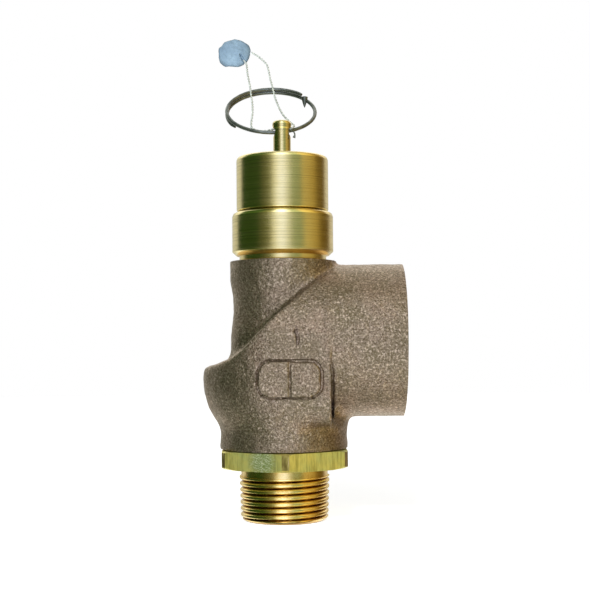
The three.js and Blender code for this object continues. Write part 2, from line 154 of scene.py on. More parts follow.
class Look:
    """A Principled material, with short calls for the nodes that these looks share."""

    def __init__(self, name, color, roughness, metallic, **uniform):
        self.material = bpy.data.materials.new(name)
        self.material.use_nodes = True
        self.nodes = self.material.node_tree.nodes
        self.links = self.material.node_tree.links
        self.shader = next(n for n in self.nodes if n.type == "BSDF_PRINCIPLED")
        self.shader.inputs["Base Color"].default_value = (*color, 1)
        self.shader.inputs["Roughness"].default_value = roughness
        self.shader.inputs["Metallic"].default_value = metallic
        for socket, value in uniform.items():
            self.shader.inputs[socket.replace("_", " ")].default_value = value
        self.place = self.nodes.new("ShaderNodeTexCoord").outputs["Object"]

    def link(self, source, target):
        self.links.new(source, target)

    def math(self, operation, a, b):
        node = self.nodes.new("ShaderNodeMath")
        node.operation = operation
        for socket, value in zip(node.inputs, (a, b)):
            if isinstance(value, (int, float)):
                socket.default_value = value
            else:
                self.link(value, socket)
        return node.outputs[0]

    def noise(self, per_mm, detail=2.0, rough=0.5, place=None, seed=0.0):
        node = self.nodes.new("ShaderNodeTexNoise")
        node.noise_dimensions = "4D"
        node.inputs["W"].default_value = seed
        node.inputs["Scale"].default_value = per_mm / MM
        node.inputs["Detail"].default_value = detail
        node.inputs["Roughness"].default_value = rough
        self.link(place or self.place, node.inputs["Vector"])
        return node.outputs["Fac"]

    def ramp(self, value, *stops):
        node = self.nodes.new("ShaderNodeValToRGB")
        set_stops(node, stops)
        self.link(value, node.inputs[0])
        return node.outputs[0]

    def mix(self, share, a, b):
        node = self.nodes.new("ShaderNodeMix")
        node.data_type = "RGBA"
        node.clamp_factor = True
        for socket, value in ((node.inputs[0], share), (node.inputs[6], a), (node.inputs[7], b)):
            if isinstance(value, tuple):
                socket.default_value = (*value, 1)
            elif isinstance(value, (int, float)):
                socket.default_value = value
            else:
                self.link(value, socket)
        return node.outputs[2]

    def hypot(self, a, b):
        squares = self.math("ADD", self.math("MULTIPLY", a, a), self.math("MULTIPLY", b, b))
        return self.math("SQRT", squares, 0)

    def axes(self):
        """The x, y and z of the object coordinates."""
        node = self.nodes.new("ShaderNodeSeparateXYZ")
        self.link(self.place, node.inputs[0])
        return node.outputs

    def distance(self, point):
        """How far the surface is from a point in millimetres, in centimetres."""
        node = self.nodes.new("ShaderNodeVectorMath")
        node.operation = "DISTANCE"
        self.link(self.place, node.inputs[0])
        node.inputs[1].default_value = point * MM
        return self.math("MULTIPLY", node.outputs["Value"], 100)

    def stretched(self, scale, slant=0.0):
        """Object coordinates turned by a slant and scaled along each axis."""
        node = self.nodes.new("ShaderNodeMapping")
        node.inputs["Rotation"].default_value = (slant, slant, 0)
        node.inputs["Scale"].default_value = scale
        self.link(self.place, node.inputs["Vector"])
        return node.outputs[0]

    def turned_place(self, axis):
        """Coordinates that run fast across a lathe's marks and slowly along them."""
        x, y, z = self.axes()
        along, side, other = (z, x, y) if axis == "Z" else (x, y, z)
        join = self.nodes.new("ShaderNodeCombineXYZ")
        self.link(self.hypot(side, other), join.inputs[0])
        self.link(along, join.inputs[1])
        self.link(self.math("MULTIPLY", self.math("ADD", side, other), 0.004), join.inputs[2])
        return join.outputs[0]

    def bump(self, height, distance_mm, strength=1.0, before=None):
        node = self.nodes.new("ShaderNodeBump")
        node.inputs["Strength"].default_value = strength
        node.inputs["Distance"].default_value = distance_mm * MM
        self.link(height, node.inputs["Height"])
        if before:
            self.link(before, node.inputs["Normal"])
        return node.outputs[0]

    def set(self, socket, source):
        self.link(source, self.shader.inputs[socket])


def cast_bronze():
    """Sand-cast bronze: pale specks on dark grains, in soft patches of brown."""
    look = Look("cast_bronze", (0.40, 0.32, 0.25), 0.45, 0.93, Specular_IOR_Level=0.4)
    grains = look.noise(2.4, 2, 0.6)
    specks = look.noise(1.6, 3, 0.7, seed=4.0)
    patches = look.noise(0.13, 3, 0.55, seed=9.0)
    browns = (0.3, (0.26, 0.21, 0.14)), (0.5, (0.34, 0.265, 0.20)), (0.72, (0.43, 0.31, 0.245))
    base = look.ramp(patches, *browns)
    dark = look.mix(look.ramp(grains, (0.36, 0.0), (0.58, 1.0)), (0.14, 0.10, 0.066), base)
    light = look.ramp(specks, (0.52, 0.0), (0.64, 1.0))
    look.set("Base Color", look.mix(light, dark, (0.64, 0.505, 0.405)))
    look.set("Roughness", look.ramp(specks, (0.3, 0.5), (0.7, 0.36)))
    coarse = look.bump(look.noise(0.9, 3, 0.65, seed=2.0), 0.35, 0.8)
    look.set("Normal", look.bump(grains, 0.22, 0.9, before=coarse))
    return look.material


def turned_metal(name, color, tint, roughness, axis="Z", marks=0.030):
    """A lathe-turned surface: fine rings, with tarnish in soft bands and spots."""
    grooves = tuple(0.6 * c for c in color)
    look = Look(name, color, roughness, 1.0, Anisotropic=0.35)
    place = look.turned_place(axis)
    fine = look.noise(5.0, 3, 0.7, place=place)
    wide = look.noise(1.1, 2, 0.5, place=place, seed=3.0)
    tarnish = look.noise(0.12, 4, 0.6, seed=7.0)
    lines = look.noise(3.0, 2, 0.6, place=place, seed=14.0)
    share = look.ramp(tarnish, (0.35, 0.0), (0.75, 0.8))
    marked = look.mix(look.ramp(lines, (0.36, 0.55), (0.52, 0.0)), look.mix(share, color, tint), grooves)
    look.set("Base Color", marked)
    look.set("Roughness", look.ramp(wide, (0.3, roughness * 0.8), (0.7, roughness * 1.5)))
    look.set("Normal", look.bump(fine, marks, 0.7, before=look.bump(wide, marks, 0.35)))
    return look.material


def threaded_brass():
    """Turned brass with painted shade in the roots of the thread: the deeper below the crest, the darker
    brown.
    """
    look = Look("thread_brass", (0.95, 0.74, 0.34), 0.17, 1.0, Anisotropic=0.3)
    x, y, z = look.axes()
    crest = look.math("ADD", look.math("MULTIPLY", z, THREAD_TAPER), THREAD_R * MM)
    depth = look.math("SUBTRACT", crest, look.hypot(x, y))
    # Painted shade: a mask that rises with the depth below the thread's crest, so the roots turn dark brown.
    lead_grime_and_thread_root_shade = look.ramp(look.math("MULTIPLY", depth, 1 / MM), (0.3, 0.0), (0.9, 1.0))
    band = look.math("LESS_THAN", z, (RELIEF_Z - 0.2) * MM)
    stain = look.noise(0.5, 3, 0.6, seed=6.0)
    unshaded_brass = look.ramp(stain, (0.35, (0.80, 0.56, 0.20)), (0.6, (0.95, 0.74, 0.34)))
    # The painted root shade is laid over the stained brass, only along the threaded length.
    look.set("Base Color", look.mix(look.math("MULTIPLY", lead_grime_and_thread_root_shade, band), unshaded_brass, (0.34, 0.19, 0.045)))
    look.set("Roughness", look.ramp(stain, (0.3, 0.26), (0.7, 0.16)))
    fine = look.noise(5.0, 3, 0.7, place=look.turned_place("Z"))
    look.set("Normal", look.bump(fine, 0.012, 0.6))
    return look.material


def milled_brass():
    """The hexagon's flats: milling lines, and a worn patch of crossed scratches."""
    look = Look("milled_brass", (0.86, 0.82, 0.38), 0.45, 0.8)
    wear = look.noise(0.16, 3, 0.6, seed=8.0)
    fine = look.noise(0.9, 3, 0.7, place=look.stretched((1, 1, 0.12)), seed=2.0)
    tint = look.mix(look.ramp(wear, (0.4, 0.0), (0.7, 0.8)), (0.84, 0.74, 0.21), (0.58, 0.64, 0.24))
    lined = look.mix(look.ramp(fine, (0.36, 0.7), (0.56, 0.0)), tint, (0.36, 0.32, 0.07))
    scratches = []
    for slant in (0.9, -0.8):
        mark = look.noise(1.3, 1, 0.5, place=look.stretched((1, 1, 9), slant), seed=slant)
        scratches.append(look.ramp(mark, (0.56, 0.0), (0.64, 1.0)))
    scratched = look.math("MAXIMUM", *scratches)
    patch = look.ramp(look.distance(Vector((-6.0, -17.4, 18.6))), (0.22, 1.0), (0.5, 0.0))
    rubbed = look.mix(patch, lined, (0.30, 0.38, 0.10))
    look.set("Base Color", look.mix(look.math("MULTIPLY", scratched, patch), rubbed, (0.98, 1.0, 0.70)))
    look.set("Roughness", look.ramp(wear, (0.3, 0.36), (0.7, 0.52)))
    look.set("Normal", look.bump(fine, 0.05, 0.5, before=look.bump(scratched, 0.05, 0.4)))
    return look.material


def worn_corner():
    """The hexagon's turned corners: darker, rubbed and stained."""
    look = Look("worn_brass", (0.30, 0.25, 0.08), 0.5, 0.85)
    stain = look.noise(0.6, 3, 0.6, place=look.stretched((1, 1, 0.3)), seed=5.0)
    browns = (0.35, (0.16, 0.12, 0.03)), (0.52, (0.34, 0.28, 0.08)), (0.7, (0.62, 0.44, 0.26))
    look.set("Base Color", look.ramp(stain, *browns))
    look.set("Roughness", look.ramp(stain, (0.3, 0.6), (0.7, 0.4)))
    look.set("Normal", look.bump(stain, 0.06, 0.5))
    return look.material


def spring_steel():
    """The ring's wire: nearly black, with paler stains."""
    look = Look("dark_spring_steel", (0.16, 0.17, 0.165), 0.38, 0.9)
    stain = look.noise(0.5, 4, 0.6)
    look.set("Base Color", look.ramp(stain, (0.3, (0.12, 0.135, 0.13)), (0.7, (0.26, 0.28, 0.27))))
    look.set("Roughness", look.ramp(stain, (0.3, 0.5), (0.7, 0.3)))
    look.set("Normal", look.bump(look.noise(3.0, 3, 0.6, seed=2.0), 0.02, 0.4))
    return look.material


def bright_steel(name, color, roughness, metallic):
    """Clean steel with faint stains."""
    look = Look(name, color, roughness, metallic)
    stain = look.noise(0.9, 3, 0.6)
    low = tuple(0.72 * c for c in color)
    look.set("Base Color", look.ramp(stain, (0.3, low), (0.65, color)))
    look.set("Roughness", look.ramp(stain, (0.3, roughness * 1.3), (0.7, roughness * 0.8)))
    look.set("Normal", look.bump(look.noise(4.0, 2, 0.5, seed=2.0), 0.02, 0.5))
    return look.material


def soft_lead():
    """Blue-grey lead, cloudy and grimy, with a dark rim."""
    look = Look("soft_lead", (0.20, 0.31, 0.38), 0.55, 0.15, Specular_IOR_Level=0.4)
    cloud = look.noise(0.22, 3, 0.6)
    lead_grime_and_thread_root_shade = look.noise(0.9, 4, 0.7, seed=3.0)
    base = look.ramp(cloud, (0.3, (0.21, 0.31, 0.42)), (0.7, (0.33, 0.47, 0.59)))
    rim = look.ramp(look.distance(SEAL_CENTRE), (0.43, 0.0), (0.53, 0.75))
    rimmed = look.mix(rim, base, (0.10, 0.14, 0.17))
    look.set("Base Color", look.mix(look.ramp(lead_grime_and_thread_root_shade, (0.3, 0.45), (0.5, 0.0)), rimmed, (0.13, 0.20, 0.26)))
    look.set("Roughness", look.ramp(lead_grime_and_thread_root_shade, (0.3, 0.7), (0.7, 0.42)))
    look.set("Normal", look.bump(lead_grime_and_thread_root_shade, 0.10, 0.7))
    return look.material


def ptfe():
    """White plastic with faint stains."""
    look = Look("ptfe", (0.86, 0.86, 0.83), 0.45, 0.0)
    stain = look.noise(0.3, 3, 0.6)
    look.set("Base Color", look.ramp(stain, (0.3, (0.74, 0.72, 0.66)), (0.6, (0.88, 0.88, 0.85))))
    look.set("Normal", look.bump(look.noise(3.0, 2, 0.5), 0.02, 0.4))
    return look.material


BRONZE = cast_bronze()
BRASS = turned_metal("turned_brass", (0.90, 0.78, 0.42), (0.76, 0.62, 0.28), 0.19)
MACHINED = turned_metal("machined_bronze", (0.78, 0.56, 0.30), (0.58, 0.40, 0.20), 0.30, axis="X")
MACHINED_Z = turned_metal("faced_bronze", (0.78, 0.56, 0.30), (0.58, 0.40, 0.20), 0.30)
THREAD_BRASS = threaded_brass()
MILLED = milled_brass()
WORN = worn_corner()
RING_STEEL = spring_steel()
STEEL = bright_steel("bright_steel", (0.62, 0.63, 0.64), 0.3, 0.95)
WIRE_STEEL = bright_steel("wire_steel", (0.80, 0.86, 0.82), 0.45, 0.5)
LEAD = soft_lead()
PTFE = ptfe()


# ---------- mesh helpers ----------
def add_piece(name, vertices, faces, materials, smooth_angle=32):
    """A mesh object from millimetre points. Edges sharper than the angle stay sharp."""
    mesh = bpy.data.meshes.new(name)
    mesh.from_pydata((np.asarray(vertices, dtype=float) * MM).tolist(), [], [list(f) for f in faces])
    piece = bpy.data.objects.new(name, mesh)
    bpy.context.collection.objects.link(piece)
    for entry in materials:
        mesh.materials.append(entry)
    shade(piece, smooth_angle)
    return piece


def shade(piece, angle):
    mesh = piece.data
    mesh.polygons.foreach_set("use_smooth", [True] * len(mesh.polygons))
    mesh.set_sharp_from_angle(angle=math.radians(angle))


def boolean(piece, tool, operation):
    """Cuts or joins a closed tool mesh, and removes the tool."""
    modifier = piece.modifiers.new("step", "BOOLEAN")
    modifier.operation = operation
    modifier.solver = "MANIFOLD"
    modifier.object = tool
    evaluated = piece.evaluated_get(bpy.context.evaluated_depsgraph_get())
    result = bpy.data.meshes.new_from_object(evaluated)
    piece.modifiers.clear()
    piece.data = result
    bpy.data.objects.remove(tool)


def eased(profile, radius):
    """The closed profile with each corner rounded by a short curve."""
    points = [np.array(p, dtype=float) for p in profile]
    result = []
    for i, corner in enumerate(points):
        before, after = points[i - 1], points[(i + 1) % len(points)]
        lengths = np.linalg.norm(before - corner), np.linalg.norm(after - corner)
        reach = min(radius, 0.45 * lengths[0], 0.45 * lengths[1])
        if corner[0] < 1e-6 or reach < 1e-3:
            result.append(corner)
            continue
        start = corner + (before - corner) * reach / lengths[0]
        end = corner + (after - corner) * reach / lengths[1]
        for t in (0, 0.33, 0.67, 1):
            result.append(start * (1 - t) ** 2 + corner * 2 * t * (1 - t) + end * t ** 2)
    return result


def turned(name, profile, material, segments=112, ease=0.25, relief=None, angle=32):
    """A closed profile of (radius, height) turned about Z. relief(r, z, angles) reshapes a ring of it."""
    rings = eased(profile, ease) if ease else [np.array(p, dtype=float) for p in profile]
    angles = np.linspace(0, 2 * math.pi, segments, endpoint=False)
    vertices, starts = [], []
    for r, z in rings:
        starts.append(len(vertices))
        if r < 1e-6:
            vertices.append((0, 0, z))
            continue
        radii = np.full(segments, r) if relief is None else relief(r, z, angles)
        vertices.extend(np.stack([radii * np.cos(angles), radii * np.sin(angles), np.full(segments, z)], 1))
    faces = []
    for i, start in enumerate(starts):
        after = (i + 1) % len(rings)
        for j in range(segments):
            k = (j + 1) % segments
            low = [start] if rings[i][0] < 1e-6 else [start + j, start + k]
            high = [starts[after]] if rings[after][0] < 1e-6 else [starts[after] + k, starts[after] + j]
            if len(low) + len(high) > 2:
                faces.append(low + high)
    return add_piece(name, vertices, faces, [material], angle)


def laid_along_x(piece, y, z):
    """Turns a piece made about Z so that its axis is +X, through y and z."""
    piece.data.transform(Matrix.Translation((0, y * MM, z * MM)) @ Matrix.Rotation(math.pi / 2, 4, "Y"))
    return piece


def block(name, low, high):
    """A box-shaped cutter."""
    corners = [(x, y, z) for x in (low[0], high[0]) for y in (low[1], high[1]) for z in (low[2], high[2])]
    faces = [(0, 1, 3, 2), (4, 6, 7, 5), (0, 4, 5, 1), (2, 3, 7, 6), (0, 2, 6, 4), (1, 5, 7, 3)]
    return add_piece(name, corners, faces, [])


def rod(name, radius, z0, z1, segments=64):
    return turned(name, [(0, z0), (radius, z0), (radius, z1), (0, z1)], None, segments, ease=0)


def tube(name, points, radius, material, sides=16, squash=None):
    """A closed round wire through the points. radius(t) gives its radius, t running from 0 to 1."""
    points = [Vector(p) for p in points]
    count = len(points)
    tangent = (points[1] - points[0]).normalized()
    side = tangent.orthogonal().normalized()
    vertices = []
    for i, point in enumerate(points):
        fresh = (points[min(i + 1, count - 1)] - points[max(i - 1, 0)]).normalized()
        side = (tangent.rotation_difference(fresh) @ side).normalized()
        side = (side - fresh * side.dot(fresh)).normalized()
        tangent = fresh
        other = tangent.cross(side)
        for j in range(sides):
            a = 2 * math.pi * j / sides
            offset = (side * math.cos(a) + other * math.sin(a)) * radius(i / (count - 1))
            if squash:
                offset = squash(offset)
            vertices.append(point + offset)
    faces = []
    for low in range(0, (count - 1) * sides, sides):
        high = low + sides
        for j in range(sides):
            k = (j + 1) % sides
            faces.append((low + j, low + k, high + k, high + j))
    faces.append(range(sides - 1, -1, -1))
    faces.append(range((count - 1) * sides, count * sides))
    return add_piece(name, vertices, faces, [material], 50)


def spline(points, per_span):
    """A smooth curve through the points (centripetal Catmull-Rom)."""
    points = [np.array(p, dtype=float) for p in points]
    points = [2 * points[0] - points[1], *points, 2 * points[-1] - points[-2]]
    curve = []
    for i in range(1, len(points) - 2):
        p = points[i - 1:i + 3]
        knots = [0.0]
        for a, b in zip(p, p[1:]):
            knots.append(knots[-1] + math.sqrt(np.linalg.norm(b - a)))
        for step in range(per_span):
            t = knots[1] + (knots[2] - knots[1]) * step / per_span
            row = list(p)
            for level in (1, 2, 3):
                row = [
                    row[j] * (knots[j + level] - t) / (knots[j + level] - knots[j])
                    + row[j + 1] * (t - knots[j]) / (knots[j + level] - knots[j])
                    for j in range(len(row) - 1)
                ]
            curve.append(row[0])
    curve.append(points[-2])
    return curve


# ---------- shapes from fields of signed distance ----------
def smooth_min(a, b, k):
    h = np.clip(0.5 + 0.5 * (b - a) / k, 0, 1)
    return b * (1 - h) + a * h - k * h * (1 - h)


def smooth_max(a, b, k):
    return -smooth_min(-a, -b, k)


def grid(low, high, step):
    axes = [np.arange(lo, hi + step, step) for lo, hi in zip(low, high)]
    return np.meshgrid(*axes, indexing="ij")


def grain(shape, step, width, seed):
    """Smooth random bumps of a width in millimetres, with a spread of 1."""
    white = np.random.default_rng(seed).standard_normal(shape)
    axes = [np.fft.fftfreq(n, step) for n in shape[:2]] + [np.fft.rfftfreq(shape[2], step)]
    waves = np.meshgrid(*axes, indexing="ij")
    share = np.exp(-2 * (math.pi * width) ** 2 * sum(w ** 2 for w in waves))
    bumps = np.fft.irfftn(np.fft.rfftn(white) * share, shape)
    return bumps / bumps.std()


def outline_field(u, v, outline):
    """Signed distance to a closed outline in the plane, negative inside."""
    distance = np.full(u.shape, 1e9)
    inside = np.zeros(u.shape, bool)
    for (au, av), (bu, bv) in zip(outline, outline[1:] + outline[:1]):
        du, dv = bu - au, bv - av
        share = np.clip(((u - au) * du + (v - av) * dv) / (du * du + dv * dv), 0, 1)
        distance = np.minimum(distance, np.hypot(u - au - share * du, v - av - share * dv))
        if dv:
            inside ^= ((av > v) != (bv > v)) & (u < au + (v - av) * du / dv)
    return np.where(inside, -distance, distance)


def surface(field, low, step):
    """Points and outward quads of the field's zero level, by surface nets. Inside is negative."""
    field = np.pad(field[1:-1, 1:-1, 1:-1], 1, constant_values=step)
    inside = field < 0
    cells = tuple(n - 1 for n in field.shape)
    total = np.zeros(cells + (3,))
    count = np.zeros(cells)
    crossings = []
    for axis in range(3):
        first = tuple(slice(0, -1) if k == axis else slice(None) for k in range(3))
        second = tuple(slice(1, None) if k == axis else slice(None) for k in range(3))
        a, b = field[first], field[second]
        crossed = inside[first] != inside[second]
        share = np.where(crossed, a / np.where(crossed, a - b, 1), 0)
        crossings.append(crossed)
        u, v = [k for k in range(3) if k != axis]
        for i in (0, 1):
            for j in (0, 1):
                part = [slice(None)] * 3
                part[u] = slice(i, i + cells[u])
                part[v] = slice(j, j + cells[v])
                hit = crossed[tuple(part)]
                total[..., axis] += share[tuple(part)] * hit
                total[..., u] += i * hit
                total[..., v] += j * hit
                count += hit
    used = count > 0
    number = np.full(cells, -1)
    number[used] = np.arange(used.sum())
    points = np.array(low) + step * (np.argwhere(used) + total[used] / count[used][:, None])
    faces = []
    for axis in range(3):
        u, v = [k for k in range(3) if k != axis]
        if axis == 1:
            u, v = v, u
        where = np.argwhere(crossings[axis])
        within = (where[:, u] > 0) & (where[:, v] > 0) & (where[:, u] < cells[u]) & (where[:, v] < cells[v])
        where = where[within]
        corners = []
        for i, j in ((1, 1), (0, 1), (0, 0), (1, 0)):
            cell = where.copy()
            cell[:, u] -= i
            cell[:, v] -= j
            corners.append(number[tuple(cell.T)])
        quads = np.stack(corners, 1)
        entering = ~inside[tuple(where.T)]
        quads[entering] = quads[entering][:, ::-1]
        faces.append(quads)
    return points, np.concatenate(faces)


# ---------- the casting ----------
def chamber_radius(z):
    """The lower casting's outline: the barrel, a soft hollow, then the bowl."""
    heights = [20, 27.4, 28.6, 29.8, 31.2, 33.4, 35.6, 38.3, 41.5, 80]
    radii = [BARREL_R, BARREL_R, 18.9, 19.7, 20.7, 21.75, 22.35, 22.85, BOWL_R, BOWL_R]
    fine = np.linspace(20, 80, 601)
    line = np.interp(fine, heights, radii)
    kernel = np.ones(13) / 13
    padded = np.pad(line, 6, mode="edge")
    return np.interp(z, fine, np.convolve(padded, kernel, "valid"))


def rounded_box(u, v, half_u, half_v, corner):
    """Signed distance to a rectangle with round corners."""
    a = np.abs(u) - half_u + corner
    b = np.abs(v) - half_v + corner
    return np.hypot(np.maximum(a, 0), np.maximum(b, 0)) + np.minimum(np.maximum(a, b), 0) - corner


def casting_field(x, y, z):
    """The chamber and the outlet hub, cut off above along a slant, joined to the barrel and the neck."""
    shift = np.interp(z, [28, 38], [BARREL_SHIFT, CAST_SHIFT])
    side = np.minimum(x - shift, 0)
    chamber = np.hypot(side, y / FLAT_RATIO) - chamber_radius(z)
    chamber = smooth_max(chamber, 29.3 - z, 1.5)
    chamber = np.maximum(chamber, x - CREASE_X)
    roof = np.hypot(y, np.maximum(z - OUTLET_Z, 0)) - HUB_R
    hub = np.maximum(np.hypot(y, z - OUTLET_Z) - HUB_R, CREASE_X - 1.5 - x)
    lower = smooth_min(np.maximum(chamber, roof), hub, 0.4)
    steep = (z - 61.9 - 1.02 * x) / math.hypot(1, 1.02)
    shallow = (z - 63.05 - 0.70 * x) / math.hypot(1, 0.70)
    ledge = (z - 47.6 - 0.28 * (x + 14.6)) / math.hypot(1, 0.28)
    under = smooth_min(smooth_max(steep, shallow, 1.5), ledge, 2.5)
    lip = 0.6 + 1.2 * np.clip((-x - 12) / 6, 0, 1)
    lower = smooth_max(lower, under, lip)
    barrel = np.hypot(x - BARREL_SHIFT, y) - BARREL_R - 0.10 * np.sin(1.1 * (z - 21))
    barrel = smooth_max(barrel, z - 33, 1)
    neck_r = np.interp(z, [45, 55, 61, 66, 70.5, 80], [15.6, 15.6, 14.85, 14.85, NECK_R, NECK_R])
    neck = np.maximum(np.hypot(x, y) - neck_r, 42 - z)
    lower = smooth_min(lower, barrel, 3.0)
    fillet = 1.2 + 1.8 * np.clip((x + 9) / 16, 0, 1) + 1.5 * np.clip((-x - 12) / 4, 0, 1)
    return smooth_min(lower, neck, fillet)


def add_pad(field, x, y, z):
    """The blank pad with round ends and a groove, and a casting mark above it."""
    half = PAD_SIZE[0] / 2, PAD_SIZE[1] / 2
    ends = rounded_box(x - PAD_CENTRE[0], z - PAD_CENTRE[1], *half, PAD_CORNER_R)
    pad = smooth_max(smooth_max(ends, -y - PAD_FACE, 0.5), y + 18, 0.1)
    groove = np.hypot(x - 2.1, np.minimum(-y - PAD_FACE + 0.2, 0)) - 0.38
    pad = smooth_max(pad, -groove, 0.2)
    moat = np.maximum(np.maximum(np.abs(ends - 0.35) - 0.35, -0.6 - field), y + 15)
    field = smooth_min(smooth_max(field, -moat, 0.15), pad, 0.1)
    bend = 4.2 + 0.35 * np.cos((z - 53.2) * 1.15)
    mark = np.maximum(np.maximum(np.abs(x - bend) - 0.55, y + 20.7), np.abs(z - 54.0) - 2.3)
    return smooth_max(field, -mark, 0.2)


def add_crease(field, x, z):
    """A groove beside the chamber's straight side that starts as a point and widens downwards."""
    share = np.clip((49 - z) / 10, 0, 1) * np.clip((z - 28.5) / 3, 0, 1)
    width = 0.3 + 0.7 * share
    groove = np.maximum(np.abs(x - CREASE_X - width / 2) - width / 2, -1.3 * share - field)
    return smooth_max(field, -groove, 0.12)


def outlet_thread(r, z, angles):
    """An internal taper thread that fades out towards the end of the bore."""
    if r < OUTLET_BORE_R - 0.01 or r > OUTLET_BORE_R + 0.01:
        return np.full(len(angles), r)
    depth = 1.45 * np.clip((z - 19.5) / 3, 0, 1)
    phase = (z / OUTLET_PITCH - angles / (2 * math.pi)) % 1
    tooth = np.clip(1.25 - 2.6 * np.abs(phase - 0.5), 0, 1)
    return r + depth * tooth + (z - 19) * THREAD_TAPER * 0.5


def make_casting():
    step = 0.42
    low, high = (-25.2, -25.2, 19.2), (37.2, 24.6, 79.6)
    x, y, z = grid(low, high, step)
    field = add_crease(add_pad(casting_field(x, y, z), x, y, z), x, z)
    for width, height, seed in ((0.42, 0.030, 1), (1.1, 0.035, 2), (5.0, 0.11, 3)):
        field = field + height * grain(field.shape, step, width, seed)
    piece = add_piece("cast_body", *surface(field, low, step), [BRONZE, MACHINED, MACHINED_Z], 180)
    boolean(piece, block("tool", (-40, -40, 0), (40, 40, BODY_Z)), "DIFFERENCE")
    boolean(piece, block("tool", (-40, -40, NECK_Z), (40, 40, 99)), "DIFFERENCE")
    boolean(piece, block("tool", (OUTLET_X, -40, 0), (60, 40, 99)), "DIFFERENCE")
    cavity = turned("tool", [
        (0, BODY_Z - 5), (NOZZLE_BORE_R, BODY_Z - 5), (NOZZLE_BORE_R, 32.3), (17.5, 35), (17.5, 42.3),
        (12.8, 45.6), (12.8, 56), (9.6, 59), (9.6, GUIDE_Z), (NECK_BORE_R, GUIDE_Z),
        (NECK_BORE_R, NECK_Z - 0.6), (NECK_BORE_R + 1.2, NECK_Z + 0.6), (NECK_BORE_R + 1.2, 99), (0, 99),
    ], None, ease=0)
    boolean(piece, cavity, "DIFFERENCE")
    passage = laid_along_x(rod("tool", 12.3, 0, 20), 0, 47.2)
    boolean(piece, passage, "DIFFERENCE")
    heights = np.linspace(19, OUTLET_X - 1.0, 84)
    profile = [(0, 17), (OUTLET_BORE_R - 0.2, 17), *[(OUTLET_BORE_R, h) for h in heights]]
    profile += [(17.3, OUTLET_X + 0.4), (17.3, 60), (0, 60)]
    outlet = laid_along_x(turned("tool", profile, None, 120, ease=0, relief=outlet_thread), 0, OUTLET_Z)
    boolean(piece, outlet, "DIFFERENCE")
    for face in piece.data.polygons:
        centre, normal = face.center / MM, face.normal
        faced = (centre.z < BODY_Z + 0.01 or centre.z > NECK_Z - 0.01) and abs(normal.z) > 0.99
        bored = math.hypot(centre.x, centre.y) < 13.6 and centre.z > 57
        in_outlet = centre.x > 16.5 and math.hypot(centre.y, centre.z - OUTLET_Z) < 17.6
        at_end = centre.x > OUTLET_X - 0.01
        face.material_index = 1 if in_outlet or at_end else 2 if faced or bored else 0
    shade(piece, 40)
    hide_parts("valve_body")
    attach(piece, "valve")


# ---------- turned parts ----------
def finished(piece, body, slot, *nodes):
    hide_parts(*nodes)
    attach(piece, body)
    return piece


def inlet_thread(r, z, angles):
    """A helical taper thread with rounded crests, fading out at the relief and at the start."""
    if not 0.4 < z < RELIEF_Z or r < 11:
        return np.full(len(angles), r)
    phase = (z / THREAD_PITCH - angles / (2 * math.pi)) % 1
    from_crest = np.abs(2 * phase - 1)
    valley = from_crest ** 2.6
    fade = np.clip((RELIEF_Z - z) / 0.7, 0, 1)
    lead = 1.0 * np.clip(1 - z / 1.2, 0, 1)
    return np.minimum(r - THREAD_DEPTH * valley * fade, r - lead)


def make_nozzle():
    """The inlet nozzle, as a threaded tube and the hexagon round it."""
    heights = np.linspace(0.5, RELIEF_Z - 0.05, 92)
    outside = [(THREAD_R + z * THREAD_TAPER, z) for z in heights]
    body = turned("nozzle_thread", [
        (9.5, 0), (11.75, 0), *outside, (THREAD_R - 0.15, RELIEF_Z), (THREAD_R - 0.15, HEX_Z + 1),
        (NOZZLE_BORE_R - GAP, HEX_Z + 1), (NOZZLE_BORE_R - GAP, 32), (10, 32), (10, 40.5), (8.5, 41.2),
        (8.5, SEAT_Z), (6.75, SEAT_Z), (7, 30), (9.5, 12),
    ], THREAD_BRASS, 144, ease=0, relief=inlet_thread, angle=40)
    corner = HEX_FLATS / math.sqrt(3)
    ring = [math.radians(30 + 60 * i + HEX_TURN) for i in range(6)]
    top = BODY_Z - GAP
    outline = [(corner * math.cos(a), corner * math.sin(a)) for a in ring]
    vertices = [(px, py, h) for h in (HEX_Z, top) for px, py in outline]
    faces = [range(5, -1, -1), range(6, 12)]
    faces += [(i, (i + 1) % 6, (i + 1) % 6 + 6, i + 6) for i in range(6)]
    hexagon = add_piece("nozzle_hexagon", vertices, faces, [MILLED, WORN], 20)
    lens = turned("tool", [
        (0, HEX_Z - 1), (18.6, HEX_Z - 1), (18.9, HEX_Z), (HEX_CORNER_R, HEX_Z + 0.7),
        (HEX_CORNER_R, top - 0.3), (19.7, top), (19.5, top + 1), (0, top + 1),
    ], None, 144, ease=0)
    boolean(hexagon, lens, "INTERSECT")
    boolean(hexagon, rod("tool", 13.9, HEX_Z - 2, top + 2, 96), "DIFFERENCE")
    for face in hexagon.data.polygons:
        flat_turn = (math.degrees(math.atan2(face.normal.y, face.normal.x)) - HEX_TURN) % 60
        upright = abs(face.normal.z) < 0.3 and math.hypot(face.center.x, face.center.y) > 15 * MM
        face.material_index = 1 if upright and 2 < flat_turn < 58 else 0
    shade(hexagon, 20)
    finished(body, "valve", "turned_brass", "inlet_nozzle")
    finished(hexagon, "valve", "turned_brass", "inlet_nozzle")


